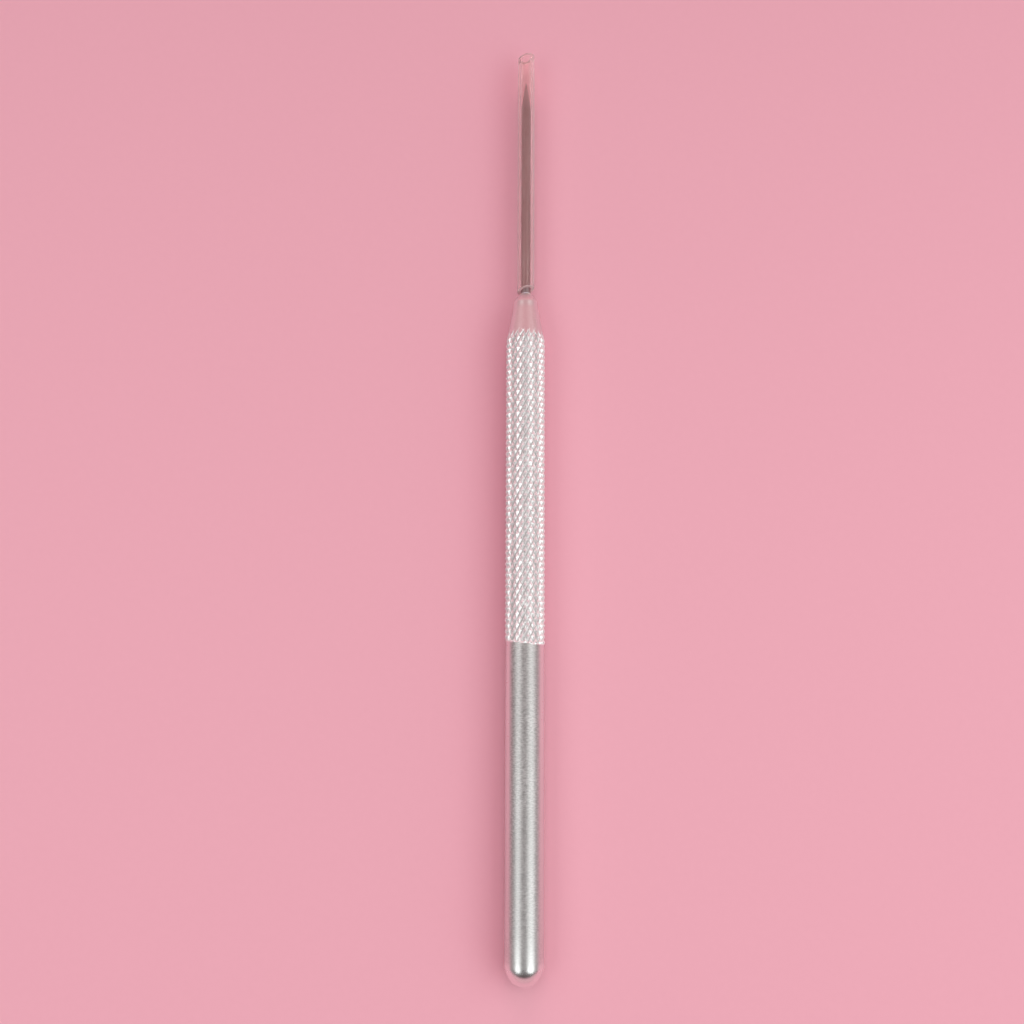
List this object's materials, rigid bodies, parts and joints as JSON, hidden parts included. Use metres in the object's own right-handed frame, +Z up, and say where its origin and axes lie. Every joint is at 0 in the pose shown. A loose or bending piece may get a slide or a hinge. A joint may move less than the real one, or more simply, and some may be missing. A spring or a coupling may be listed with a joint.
{
  "type": "pottery needle tool",
  "caption": "Slim needle tool with a domed, knurled aluminium handle, a fixed steel needle and a clear tube that slides off over the point.",
  "frame": {"origin": "centre of the part's box in X and Y, on the surface that the tool lies on", "axes": "+Y along the tool towards the needle's point, +Z up from the surface, +X to the right with the needle pointing away"},
  "size_m": [0.0064, 0.149, 0.0063],
  "materials": {
    "handle_aluminium": "satin turned shank, rolled diamond knurl, polished nose and dome",
    "needle_steel": "drawn wire with a ground point",
    "cured_adhesive": "cured, slightly cloudy",
    "clear_tube": "clear extruded tube, ends snipped at a slant"
  },
  "bodies": {
    "handle_body": {"handle": "handle_aluminium", "needle": "needle_steel", "needle_bond": "cured_adhesive"},
    "sleeve_body": {"protective_sleeve": "clear_tube"}
  },
  "joints": [
    {"name": "sleeve_slide", "type": "slide", "parent": "handle_body", "child": "sleeve_body", "axis": [0, 1, 0], "range_m": [0, 0.04]}
  ]
}
